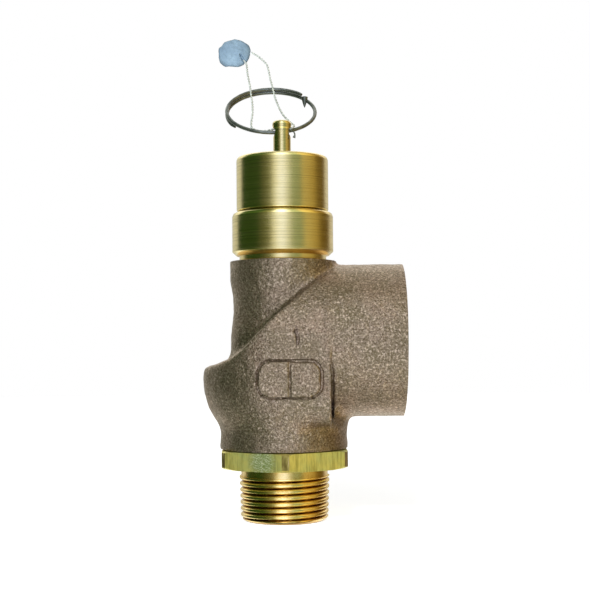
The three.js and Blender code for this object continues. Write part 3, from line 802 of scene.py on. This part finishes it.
def make_turned_parts():
    """Bonnet, cap and stem, then what they hold: guide, disc, spring steps and holder."""
    bonnet = turned("bonnet_shell", [
        (10.3, 65.6), (NECK_BORE_R - GAP, 65.6), (NECK_BORE_R - GAP, NECK_Z - 1), (11.3, NECK_Z),
        (11.3, NECK_Z + GAP), (12.9, NECK_Z + GAP), (12.9, BONNET_Z), (BONNET_R - 1.25, BONNET_Z),
        (BONNET_R, BONNET_Z + 1.15), (BONNET_R, BONNET_TOP - 1.3), (BONNET_R - 0.35, BONNET_TOP - 0.45),
        (BONNET_R - 1.2, BONNET_TOP), (BOSS_R, BONNET_TOP), (BOSS_R, 99), (BOSS_R - 0.5, 99.5),
        (8.3, 99.5), (8.3, 93), (10.3, 92.3),
    ], BRASS, 128, ease=0.18)
    finished(bonnet, "valve", "turned_brass", "bonnet")
    cap = turned("cap_shell", [
        (BOSS_R + GAP, BONNET_TOP + GAP), (CAP_R - 0.35, BONNET_TOP + GAP), (CAP_R, BONNET_TOP + GAP + 0.35),
        (CAP_R, CAP_TOP - 1.1), (CAP_R - 0.3, CAP_TOP - 0.35), (CAP_R - 1.0, CAP_TOP),
        (STEM_R + 0.9, CAP_TOP), (STEM_R + GAP, CAP_TOP - 0.6), (STEM_R + GAP, CAP_TOP - 3),
        (BOSS_R + GAP, CAP_TOP - 3),
    ], BRASS, 128, ease=0.22)
    finished(cap, "valve", "turned_brass", "cap")
    stem = turned("stem_rod", [
        (0, 55.8), (STEM_R - 0.4, 55.8), (STEM_R, 56.3), (STEM_R, PIN_Z - PIN_R), (1.5, PIN_Z - PIN_R),
        (1.5, PIN_Z + PIN_R), (STEM_R, PIN_Z + PIN_R), (STEM_R, 66.2), (4.2, 66.2), (4.2, 68.2),
        (STEM_R, 68.2), (STEM_R, 115.9), (STEM_HEAD_R, 116.3), (STEM_HEAD_R, STEM_TOP - 0.9),
        (STEM_HEAD_R - 0.3, STEM_TOP - 0.3), (1.9, STEM_TOP), (0, STEM_TOP),
    ], BRASS, 64, ease=0.2)
    boolean(stem, laid_along_x(rod("tool", HOLE_R + GAP, -5, 5, 32), 0, HOLE_Z), "DIFFERENCE")
    shade(stem, 35)
    finished(stem, "spindle", "turned_brass", "stem")
    guide = turned("guide_sleeve", [
        (5.02, 54), (7.5, 54), (7.5, 60.4), (8.6, GUIDE_Z + GAP), (GUIDE_R, GUIDE_Z + GAP),
        (GUIDE_R, 65.3), (5.02, 65.3),
    ], BRASS, 96, ease=0.2)
    finished(guide, "valve", "turned_brass", "guide")
    inner, outer, low, high = SEAT_DISC
    outline = [(inner, low), (outer, low), (outer, high), (inner, high)]
    seat = turned("seat_disc_ring", outline, PTFE, 96, ease=0.2)
    finished(seat, "disc", "white_ptfe", "seat_disc")
    outline = [(inner, 41.2), (5.3, 41.2), (5.3, 42), (inner, 42)]
    retainer = turned("retainer_washer", outline, STEEL, 64, ease=0.15)
    finished(retainer, "disc", "bright_steel", "disc_retainer")
    lower_step = turned("lower_step", [
        (4.5, 66.4), (STEP_R, 66.4), (STEP_R, 68.8), (6.8, 68.8), (6.2, 71.5), (STEM_ROOM_R, 71.5),
        (STEM_ROOM_R, 68.5), (4.5, 68.5),
    ], BRASS, 72, ease=0.2)
    finished(lower_step, "disc", "turned_brass", "lower_spring_step")
    upper_step = turned("upper_step", [
        (STEM_ROOM_R, 87.2), (6.2, 87.2), (6.8, 89.9), (STEP_R, 89.9), (STEP_R, 91.2), (5.5, 92),
        (STEM_ROOM_R, 92),
    ], BRASS, 72, ease=0.2)
    finished(upper_step, "valve", "turned_brass", "upper_spring_step")
    holder = turned("holder", [
        (8.9, 42.8), (10.5, 42.8), (10.5, 46.2), (8.2, 47.6), (SHANK_R, 49.6), (SHANK_R, 65.6),
        (2.9, 65.6), (2.9, 55.5), (0, 55.5), (0, 50), (1.8, 50), (1.8, 45.6), (8.9, 45.6),
    ], BRASS, 96, ease=0.2)
    pin_hole = rod("tool", PIN_R, -5.2, 5.2, 24)
    turn = Matrix.Rotation(math.pi / 2, 4, "X")
    pin_hole.data.transform(Matrix.Translation((PIN_X * MM, 0, PIN_Z * MM)) @ turn)
    boolean(holder, pin_hole, "DIFFERENCE")
    finished(holder, "disc", "turned_brass", "disc_holder")


# ---------- pull ring, sealing wire and seal ----------
def make_ring():
    """The split ring: one and a half turns of wire in two layers, with a raised spur at its start."""
    start, end = (math.radians(a) for a in RING_ENDS)
    up = Vector((0, math.cos(RING_TILT), math.sin(RING_TILT)))
    normal = X.cross(up)
    reach = math.sqrt(RING_R ** 2 - RING_OFFSET ** 2)
    centre = Vector((RING_OFFSET, 0, HOLE_Z)) + up * (reach + RING_SEAT[0]) + normal * RING_SEAT[1]
    single = (end - 2 * math.pi, start + 2 * math.pi)

    def place(angle):
        share = min(max((angle - single[0]) / (single[1] - single[0]), 0), 1)
        layer = RING_STACK * (0.5 - share * share * (3 - 2 * share))
        return centre + X * RING_R * math.cos(angle) + up * RING_R * math.sin(angle) + normal * layer

    points = [place(start + (end - start) * i / 240) for i in range(241)]

    def radius(t):
        return RING_WIRE_R * (1 - 0.25 * max(0, 1 - t / 0.006) - 0.45 * max(0, (t - 0.985) / 0.015))

    def flattened(offset):
        """The two layers lie flat on each other."""
        across = offset.dot(normal)
        return offset + normal * (max(-0.5, min(0.5, across)) - across)

    ring = tube("split_ring", points, radius, RING_STEEL, 20, flattened)
    finished(ring, "ring", "dark_steel", "pull_ring")
    root = place(start - 0.10) - up * 0.2 - normal * 0.3
    tip = root - up * 2.5 - normal * 2.2
    spur_points = [root.lerp(tip, s) for s in np.linspace(0, 1, 10)]
    spur = tube("ring_spur", spur_points, lambda t: 1.0 * (1 - t) ** 0.8 + 0.07, RING_STEEL, 12)
    finished(spur, "ring", "dark_steel")


def make_seal_wire():
    """Two thin wires twisted together along the route, and the cut end that sticks out of the hole."""
    path = spline(SEAL_WIRE_ROUTE, 14)
    travelled = 0.0
    strands = ([], [])
    side = Vector((1, 0, 0))
    for i, point in enumerate(path):
        before, after = path[max(i - 1, 0)], path[min(i + 1, len(path) - 1)]
        tangent = Vector(after - before).normalized()
        if i:
            travelled += float(np.linalg.norm(point - path[i - 1]))
        side = (side - tangent * side.dot(tangent)).normalized()
        other = tangent.cross(side)
        a = 2 * math.pi * travelled / LAY
        offset = (side * math.cos(a) + other * math.sin(a)) * STRAND_SHIFT
        strands[0].append(Vector(point) + offset)
        strands[1].append(Vector(point) - offset)
    pieces = []
    for i, strand in enumerate(strands):
        pieces.append(tube(f"seal_wire_strand_{i}", strand, lambda t: STRAND_R, WIRE_STEEL, 8))
    context = {"active_object": pieces[0], "selected_editable_objects": pieces}
    with bpy.context.temp_override(**context):
        bpy.ops.object.join()
    wire = pieces[0]
    wire.name = "twisted_seal_wire"
    tail_route = [(2.6, -0.95, 115.2), (3.45, -1.4, 115.0), (3.85, -1.7, 114.1), (3.6, -1.7, 113.1)]
    tail_path = spline(tail_route, 6)
    tail = tube("seal_wire_tail", tail_path, lambda t: 0.22 + 0.22 * max(0, t - 0.7) / 0.3, RING_STEEL, 10)
    finished(tail, "seal", "wire_steel")
    finished(wire, "seal", "wire_steel", "seal_wire")


def make_seal():
    """A lead pellet squeezed flat. One wire leaves it at an ear of its lumpy rim, and the other at a slit."""
    step = 0.15
    low, high = (-6.6, -6.6, -2.6), (7.2, 6.6, 2.6)
    u, v, w = grid(low, high, step)
    outline = [
        (-4.9, 0.0), (-5.05, 1.9), (-4.0, 2.6), (-3.1, 4.1), (-1.0, 4.55), (0.3, 5.1), (1.6, 4.7), (3.2, 3.9),
        (5.0, 2.6), (6.4, 0.4), (5.4, 0.0), (4.9, -2.0), (3.8, -3.9), (1.5, -4.6), (-1.7, -4.5), (-2.7, -5.1),
        (-4.7, -3.3), (-5.0, -1.5),
    ]
    flat = outline_field(u[:, :, 0], v[:, :, 0], outline)[:, :, None] + 0 * w
    pillow = 1.45 - 0.045 * (u ** 2 + v ** 2) + 0.07 * np.sin(0.9 * u + 0.4) * np.cos(1.1 * v)
    solid = smooth_max(flat, np.abs(w) - pillow, 0.8)
    du, dv = u - 2.1, v + 1.1
    along = np.clip((du * 1.7 + dv * -2.8) / (1.7 ** 2 + 2.8 ** 2), 0, 1)
    depth = 0.5 * (w - pillow)
    slit = np.sqrt((du - 1.7 * along) ** 2 + (dv + 2.8 * along) ** 2 + depth ** 2) - 0.5
    solid = smooth_max(solid, -slit, 0.2)
    solid = solid + 0.035 * grain(solid.shape, step, 0.5, 11) + 0.05 * grain(solid.shape, step, 1.3, 12)
    points, faces = surface(solid, low, step)
    seal = add_piece("lead_pellet", points, faces, [LEAD], 180)
    up = Vector((0, math.sin(SEAL_LEAN), math.cos(SEAL_LEAN)))
    frame_of_seal = Matrix((X, up, X.cross(up))).transposed().to_4x4()
    seal.data.transform(Matrix.Translation(SEAL_CENTRE * MM) @ frame_of_seal)
    finished(seal, "seal", "lead", "lead_seal")


# ---------- carried-over nodes ----------
def dress_hidden_nodes():
    """The nodes kept as they are in CAD, inside the valve, get a material."""
    looks = {
        "disc_screw": STEEL, "stem_pin": STEEL, "spring": STEEL, "adjusting_screw": BRASS, "lock_nut": BRASS,
    }
    for node, look in looks.items():
        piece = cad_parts[node]
        piece.data.materials.clear()
        piece.data.materials.append(look)


# ---------- studio ----------
# The light round the object by direction, in degrees from -Y towards +X.
SKY = [
    (-180, (0.72, 0.72, 0.66)), (-128, (0.72, 0.72, 0.64)), (-116, (0.028, 0.058, 0.012)),
    (-58, (0.026, 0.056, 0.010)), (-50, (0.07, 0.08, 0.025)), (-28, (0.17, 0.18, 0.07)),
    (-18, (0.9, 0.9, 0.75)), (-2, (1.25, 1.37, 1.80)), (14, (0.8, 0.82, 0.75)), (24, (0.33, 0.39, 0.24)),
    (48, (0.27, 0.32, 0.18)), (53, (0.60, 0.49, 0.20)), (85, (0.44, 0.32, 0.09)),
    (100, (0.17, 0.11, 0.025)), (126, (0.14, 0.09, 0.02)), (138, (0.70, 0.64, 0.55)),
    (180, (0.72, 0.72, 0.66)),
]
SKY_RISE = [(0.25, 0.45), (0.5, 1), (0.82, 1), (0.96, 0.4)]  # its share by the height of the direction
SKY_GAIN = 2.1


def make_world():
    """White behind, dark green at the left, bright in front and amber at the right. The camera sees white."""
    world = bpy.data.worlds.new("studio")
    bpy.context.scene.world = world
    world.use_nodes = True
    nodes, links = world.node_tree.nodes, world.node_tree.links
    nodes.clear()
    path = nodes.new("ShaderNodeLightPath")

    def calculated(operation, a, b=None):
        node = nodes.new("ShaderNodeMath")
        node.operation = operation
        for socket, value in zip(node.inputs, (a, b)):
            if isinstance(value, (int, float)):
                socket.default_value = value
            elif value:
                links.new(value, socket)
        return node.outputs[0]

    def background(color, strength):
        node = nodes.new("ShaderNodeBackground")
        node.inputs["Color"].default_value = (*color, 1)
        node.inputs["Strength"].default_value = strength
        return node

    def either(ray, usual, special):
        """The special shader for rays of this kind, and the usual one for the rest."""
        node = nodes.new("ShaderNodeMixShader")
        links.new(path.outputs[ray], node.inputs[0])
        links.new(usual.outputs[0], node.inputs[1])
        links.new(special.outputs[0], node.inputs[2])
        return node

    place = nodes.new("ShaderNodeTexCoord")
    split = nodes.new("ShaderNodeSeparateXYZ")
    links.new(place.outputs["Generated"], split.inputs[0])
    x, y, z = split.outputs
    share = nodes.new("ShaderNodeMapRange")
    share.inputs["From Min"].default_value = -math.pi
    share.inputs["From Max"].default_value = math.pi
    links.new(calculated("ARCTAN2", x, calculated("MULTIPLY", y, -1)), share.inputs["Value"])
    sky = nodes.new("ShaderNodeValToRGB")
    set_stops(sky, [((degrees + 180) / 360, color) for degrees, color in SKY])
    links.new(share.outputs[0], sky.inputs[0])
    rise = nodes.new("ShaderNodeValToRGB")
    set_stops(rise, SKY_RISE)
    links.new(calculated("ABSOLUTE", z), rise.inputs[0])
    around = background((1, 1, 1), 1)
    links.new(sky.outputs[0], around.inputs["Color"])
    links.new(calculated("MULTIPLY", rise.outputs[0], SKY_GAIN), around.inputs["Strength"])
    on_dull_surfaces = background((0.9, 1, 1), 0.05)
    in_view = background((1, 1, 1), 1)
    both = either("Is Camera Ray", either("Is Diffuse Ray", around, on_dull_surfaces), in_view)
    out = nodes.new("ShaderNodeOutputWorld")
    links.new(both.outputs[0], out.inputs["Surface"])


def soft_light(name, azimuth, elevation, distance, size, power):
    """A square light, not seen in reflections. The azimuth runs from -Y towards +X."""
    data = bpy.data.lights.new(name, "AREA")
    data.size = size
    data.energy = power
    light = bpy.data.objects.new(name, data)
    bpy.context.collection.objects.link(light)
    a, e = math.radians(azimuth), math.radians(elevation)
    aim = Vector((0, 0, 0.06))
    away = Vector((math.sin(a) * math.cos(e), -math.cos(a) * math.cos(e), math.sin(e)))
    light.location = aim + away * distance
    light.rotation_euler = away.to_track_quat("Z", "Y").to_euler()
    light.visible_glossy = False


def make_floor():
    """A pale floor that fades into the white surroundings. Its glow is dimmer near the middle, a painted
    shadow round the valve. Only the camera sees it.
    """
    steps, radius = 48, 900
    below = -0.02
    angles = [2 * math.pi * i / steps for i in range(steps)]
    rim = [(radius * math.cos(a), radius * math.sin(a), below) for a in angles]
    look = Look("pale_floor", (0.9, 0.9, 0.9), 0.9, 0.0, Emission_Strength=1.0)
    length = look.nodes.new("ShaderNodeVectorMath")
    length.operation = "LENGTH"
    look.link(look.place, length.inputs[0])
    outwards = look.math("MULTIPLY", length.outputs["Value"], 2)
    # Painted shadow: the glow is 0.84 within 5 cm of the middle and rises to full white at 30 cm.
    look.set("Emission Color", look.ramp(outwards, (0.1, 0.84), (0.6, 1.0)))
    floor = add_piece("floor", rim, [range(steps)], [look.material])
    floor.visible_shadow = False
    floor.visible_diffuse = False
    floor.visible_glossy = False


# ---------- the making, camera and cord first ----------
make_camera()
make_seal_wire()
make_casting()
make_nozzle()
make_turned_parts()
make_ring()
make_seal()
dress_hidden_nodes()
make_world()
soft_light("key", -9, 40, 0.7, 0.12, 3.6)
soft_light("low_key", -16, -38, 0.7, 0.12, 4.5)
make_floor()
bpy.context.scene.view_settings.view_transform = "Standard"
